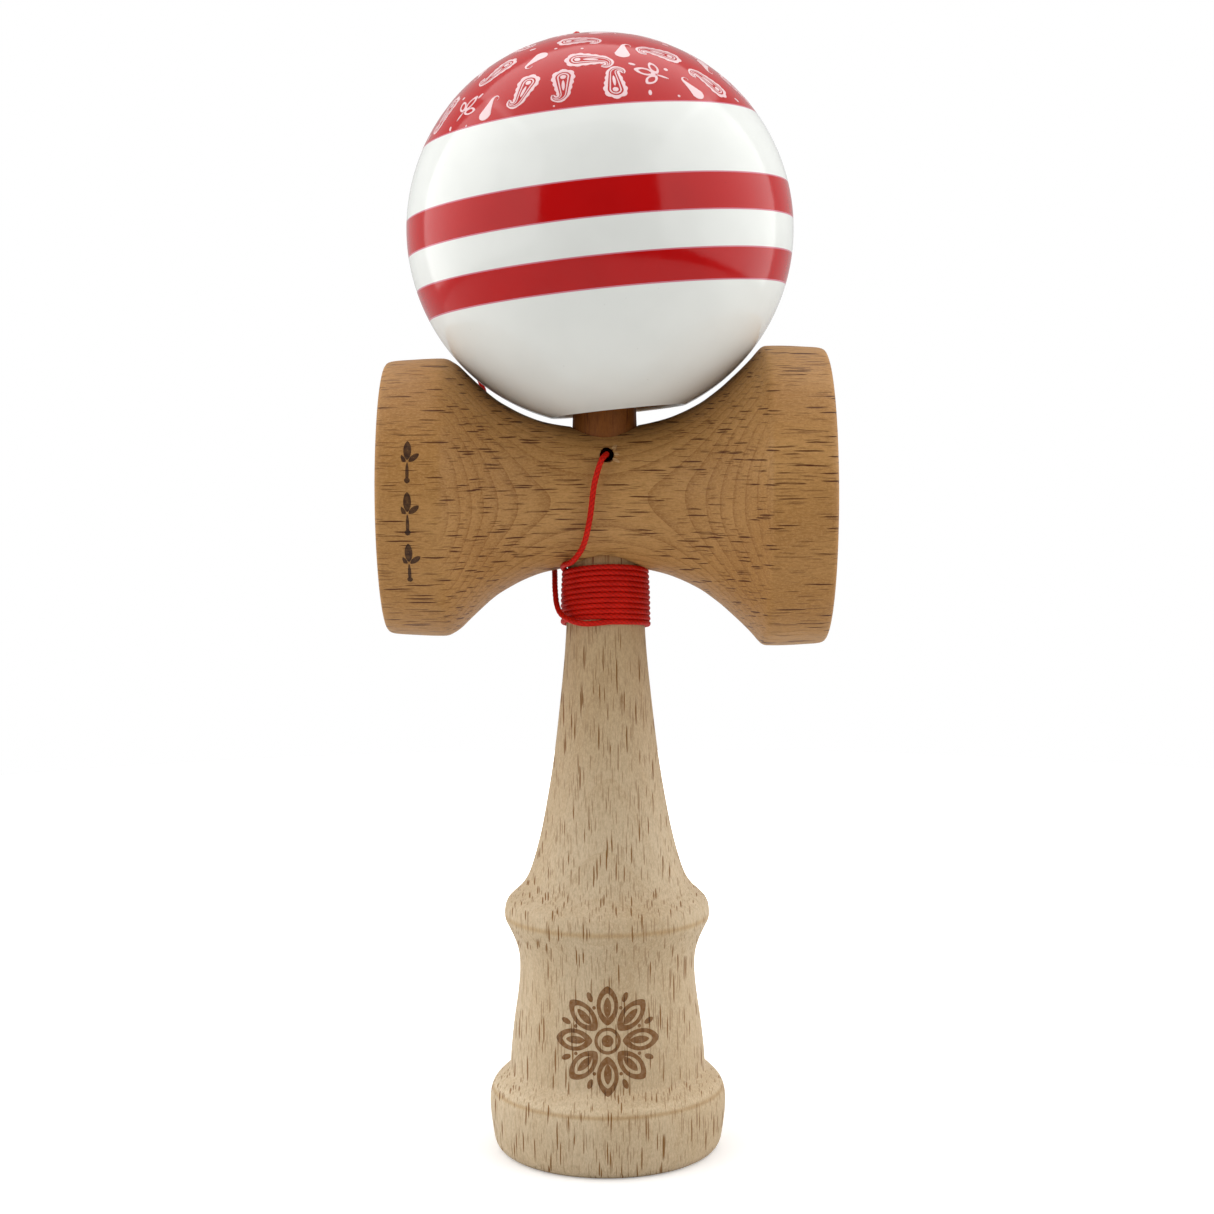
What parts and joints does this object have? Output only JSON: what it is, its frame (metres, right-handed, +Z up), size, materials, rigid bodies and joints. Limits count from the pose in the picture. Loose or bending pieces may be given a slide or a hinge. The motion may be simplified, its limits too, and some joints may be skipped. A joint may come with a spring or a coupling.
{
  "type": "kendama",
  "caption": "Turned wooden handle with a spike, base cup and cross piece of opposed cups, holding a holed lacquered ball tied on by a thin braided string.",
  "frame": {"origin": "centre of the handle's base rim, on the plane the toy stands on", "axes": "+Z up along the handle, +X along the cross piece towards its big cup, -Y towards the side the string leaves"},
  "size_m": [0.0673, 0.059, 0.1734],
  "materials": {
    "beech_handle": "bare, sanded beech",
    "beech_cross_piece": "oiled beech",
    "ball_lacquer": "gloss lacquer, white with red bands and a red printed cap",
    "red_string": "braided nylon",
    "bead_wood": "turned bead"
  },
  "bodies": {
    "handle_and_cross_piece": {"ken_handle": "beech_handle", "sarado_cross_piece": "beech_cross_piece", "string_front": "red_string", "string_wrap": "red_string", "string_knot_in_handle": "red_string"},
    "string_end": {"string_bead": "bead_wood", "string_knot_in_ball": "red_string", "string_riser": "red_string"},
    "ball": {"tama_ball": "ball_lacquer"}
  },
  "joints": [
    {"name": "ball_lift", "type": "slide", "parent": "handle_and_cross_piece", "child": "string_end", "axis": [0, 0, 1], "range_m": [0, 0.04], "deforming": ["string_riser"]},
    {"name": "ball_spin", "type": "hinge", "parent": "string_end", "child": "ball", "pos_m": [-0.00055, 0, 0.1426], "axis": [-0.0975, 0.0262, 0.9949], "continuous": true}
  ]
}
